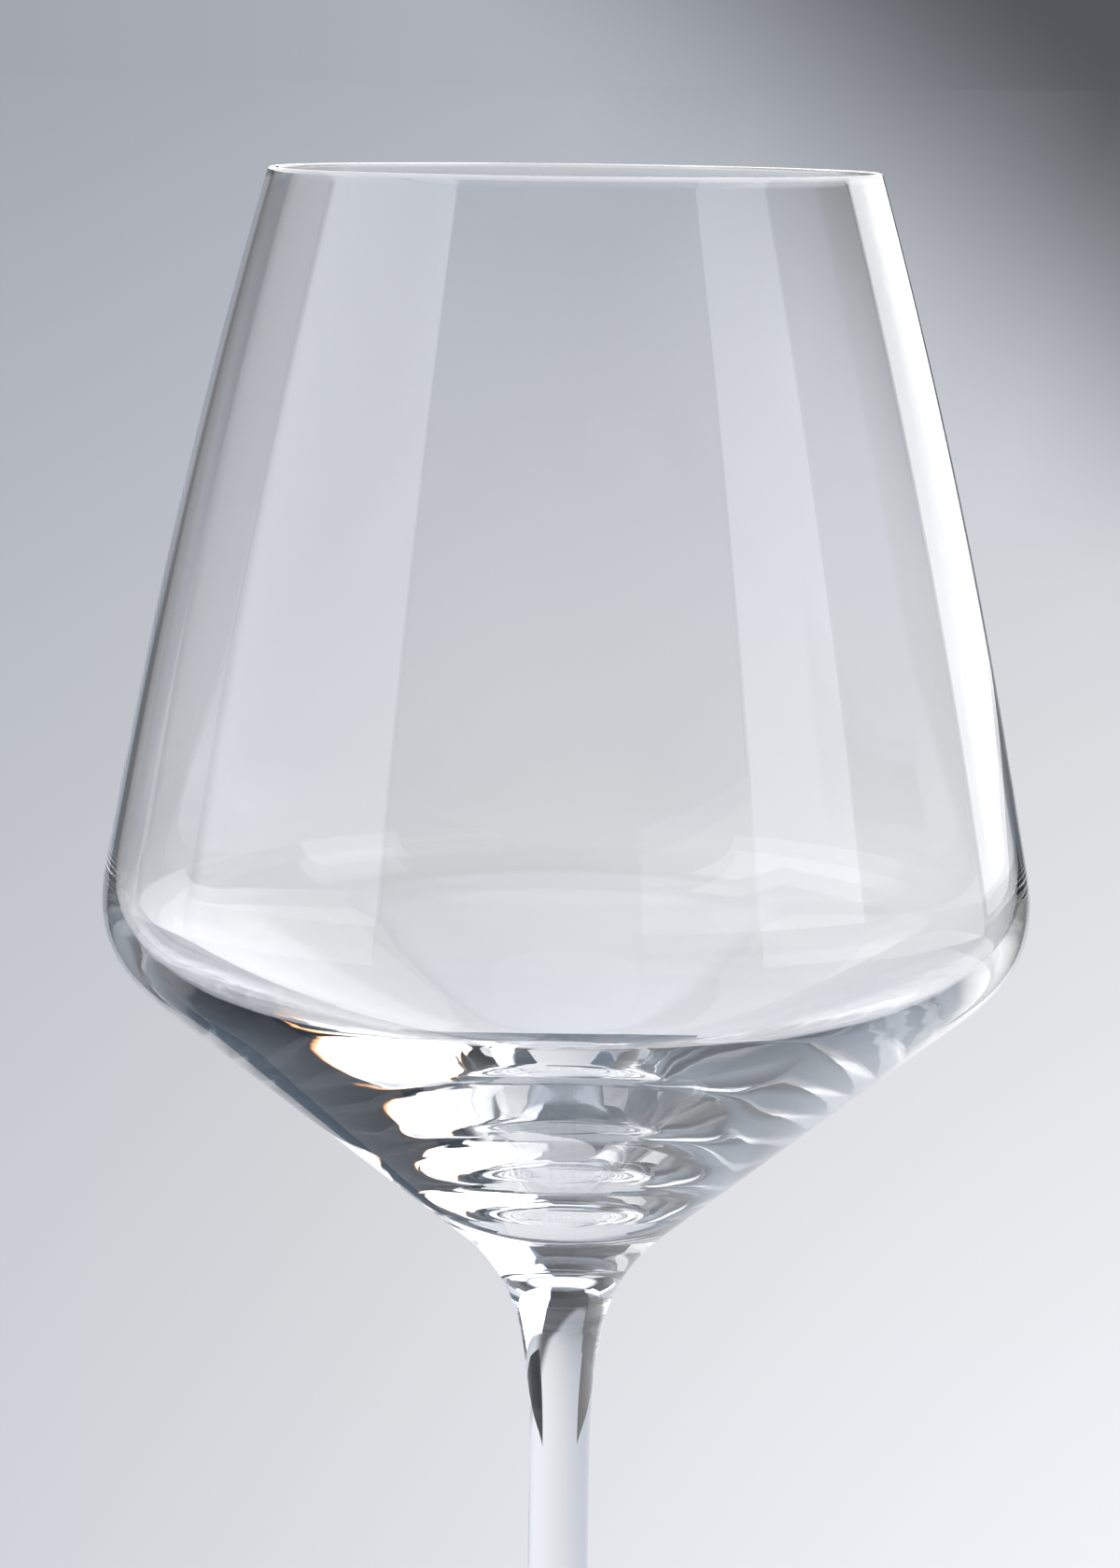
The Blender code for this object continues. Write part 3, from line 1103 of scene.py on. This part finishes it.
        meets = (bends, rule.fewest_bends - BETWEEN_COUNTS)
        meets = add_node(tree, "Math", meets, operation="GREATER_THAN")
        few = (bends, rule.most_bends + BETWEEN_COUNTS)
        few = add_node(tree, "Math", few, operation="LESS_THAN")
        for test in (few, *(tests[need] for need in rule.needs)):
            meets = add_node(tree, "Math", (meets, test), operation="MULTIPLY")
        shade = add_node(tree, "Attribute", output="Color", attribute_name="shade")
        glow = add_node(tree, "Emission", {"Color": shade, "Strength": 1.0})
        clear = add_node(tree, "BsdfTransparent")
        add_node(tree, "OutputMaterial", (add_node(tree, "MixShader", (meets, clear, glow)),))
        return made

    def clear_material(self) -> bpy.types.Material:
        """Make the finish of the collar, which light passes unchanged."""
        made = bare_material("clear_collar")
        clear = add_node(made.node_tree, "BsdfTransparent")
        add_node(made.node_tree, "OutputMaterial", (clear,))
        return made

    def build_light(self) -> None:
        """Set the world: a pale ceiling, gloom round the sides and the grey behind the glass.

        The grey behind continues the floor's painted falloff at an endless distance.
        """
        world = bpy.data.worlds.new("studio")
        bpy.context.scene.world = world
        world.use_nodes = True
        tree = world.node_tree
        tree.nodes.clear()

        direction = add_node(tree, "TexCoord", output="Generated")
        right, behind, up = add_node(tree, "SeparateXYZ", (direction,)).node.outputs
        ceiling_edge = [math.sin(angle) for angle in self.ceiling_edge]
        light = add_node(tree, "MapRange", (up, *ceiling_edge, self.gloom, self.ceiling), **SOFT_STEP)

        behind = add_node(tree, "Math", (behind, self.least_behind), operation="MAXIMUM")
        side = add_node(tree, "Math", (right, behind), operation="DIVIDE")
        near = add_node(tree, "Math", (up, behind), operation="DIVIDE")
        near = add_node(tree, "Math", (near, -self.fade_distance / self.eye_height), operation="MULTIPLY")
        lean = add_node(tree, "Math", (side, self.side_width), operation="DIVIDE")
        lean = add_node(tree, "Math", (lean,), operation="TANH")
        grey = add_node(tree, "Math", (lean, self.side_gain, self.far_light), operation="MULTIPLY_ADD")
        corner = add_node(tree, "Math", (near, -self.corner_tilt, side), operation="MULTIPLY_ADD")
        corner = (corner, *self.corner, 1.0, 1.0 - self.corner_depth)
        corner = add_node(tree, "MapRange", corner, **SOFT_STEP)
        grey = add_node(tree, "Math", (grey, corner), operation="MULTIPLY")

        window = add_node(tree, "Math", (side,), operation="ABSOLUTE")
        window = add_node(tree, "MapRange", (window, *self.window_sides, 1.0, 0.0), **SOFT_STEP)
        low = add_node(tree, "MapRange", (up, *self.window_top, 1.0, 0.0), **SOFT_STEP)
        window = add_node(tree, "Math", (window, low), operation="MULTIPLY")

        path = add_node(tree, "LightPath").node.outputs
        plain = add_node(tree, "MapRange", (up, *self.plain_top, 1.0, 0.0), **SOFT_STEP)
        plain = add_node(tree, "Math", (plain, path["Is Transmission Ray"]), operation="MULTIPLY")
        for count, limit in (("Glossy Depth", 1), ("Transparent Depth", self.collar_layers)):
            fewer = add_node(tree, "Math", (path[count], limit - BETWEEN_COUNTS), operation="LESS_THAN")
            plain = add_node(tree, "Math", (plain, fewer), operation="MULTIPLY")
        plain = add_node(tree, "Math", (plain, path["Is Camera Ray"]), operation="MAXIMUM")
        beside = add_node(tree, "Math", (1.0, window), operation="SUBTRACT")
        plain = add_node(tree, "Math", (plain, beside), operation="MULTIPLY")
        for share, value in ((window, grey), (plain, self.far_light)):
            light = add_node(tree, "Mix", {0: share, 2: light, 3: value}, data_type="FLOAT")
        background = {"Color": (*self.far_tint, 1.0), "Strength": light}
        add_node(tree, "OutputWorld", (add_node(tree, "Background", background),))

    def build(self) -> None:
        """Build the floor, the screens and the world."""
        self.build_floor()
        self.build_light()
        finishes = {seen: self.screen_material(seen.value) for seen in Seen}
        points, faces = self.turned(*np.array(self.halo).T)
        light = np.tile([self.halo_light] * 3 + [1.0], (len(points), 1))
        hidden = ("camera", "diffuse", "shadow")
        stage_object("halo", points, faces, light, finishes[Seen.RIM], hidden)
        folds = np.arange(self.collar_layers + 1)
        radii = np.array(self.collar_reach)[folds % 2]
        points, faces = self.turned(radii, self.collar_height + folds * self.layer_gap)
        hidden = ("glossy", "transmission", "diffuse", "shadow")
        stage_object("collar", points, faces, np.zeros((len(points), 4)), self.clear_material(), hidden)
        for panel in self.panels:
            panel.build(finishes[panel.seen])
        for card in self.cards:
            card.build(finishes[card.seen])


@dataclass(frozen=True)
class Camera:
    """The camera's place and lens, found from the outline of the glass in the picture."""

    picture_width: float = 1200.0
    picture_height: float = 1680.0
    distance: float = 0.600
    height: float = 0.24617
    pitch: float = math.radians(8.01)
    roll: float = math.radians(0.72)
    focal_pixels: float = 5484.9
    axis_pixel: float = 608.33
    sensor: float = 36.0
    clip: tuple[float, float] = (0.01, 200.0)

    def build(self) -> bpy.types.Object:
        """Add the camera, looking along +Y and down, with a slight roll.

        Returns:
            The camera.
        """
        lens = bpy.data.cameras.new("camera")
        lens.sensor_fit = "VERTICAL"
        lens.sensor_height = self.sensor
        lens.sensor_width = self.sensor
        lens.lens = self.focal_pixels * self.sensor / self.picture_height
        lens.shift_x = (self.picture_width / 2 - self.axis_pixel) / self.picture_height
        lens.clip_start, lens.clip_end = self.clip
        camera = bpy.data.objects.new("camera", lens)
        bpy.context.scene.collection.objects.link(camera)
        ahead = Vector((0.0, math.cos(self.pitch), -math.sin(self.pitch)))
        level_up = Vector((0.0, math.sin(self.pitch), math.cos(self.pitch)))
        level_right = Vector((1.0, 0.0, 0.0))
        right = level_right * math.cos(self.roll) + level_up * math.sin(self.roll)
        up = level_up * math.cos(self.roll) - level_right * math.sin(self.roll)
        turn = Matrix((right, up, -ahead)).transposed().to_4x4()
        camera.matrix_world = Matrix.Translation((0.0, -self.distance, self.height)) @ turn
        bpy.context.scene.camera = camera
        return camera


def set_light_paths(bounces: int) -> None:
    """Let light run through the glass as often as it is mirrored inside the stem and cone.

    Args:
        bounces: How many times a path may bend or be mirrored.
    """
    cycles = bpy.context.scene.cycles
    cycles.max_bounces = bounces
    cycles.glossy_bounces = bounces
    cycles.transmission_bounces = bounces
    cycles.transparent_max_bounces = bounces
    cycles.blur_glossy = 0.0
    cycles.caustics_reflective = True
    cycles.caustics_refractive = True


def main() -> None:
    """Build the camera, the glass from its three pieces, and the studio."""
    logging.basicConfig(level=logging.INFO)
    bpy.context.scene.view_settings.view_transform = "Standard"
    Camera().build()
    bowl, foot = Bowl(), Foot()
    for part in (bowl, Stem(bowl=bowl, foot=foot), foot):
        made = part.build()
        LOG.info("%s: %d faces", made.name, len(made.data.polygons))
    Studio().build()
    set_light_paths(MOST_BOUNCES)


if __name__ == "__main__":
    main()
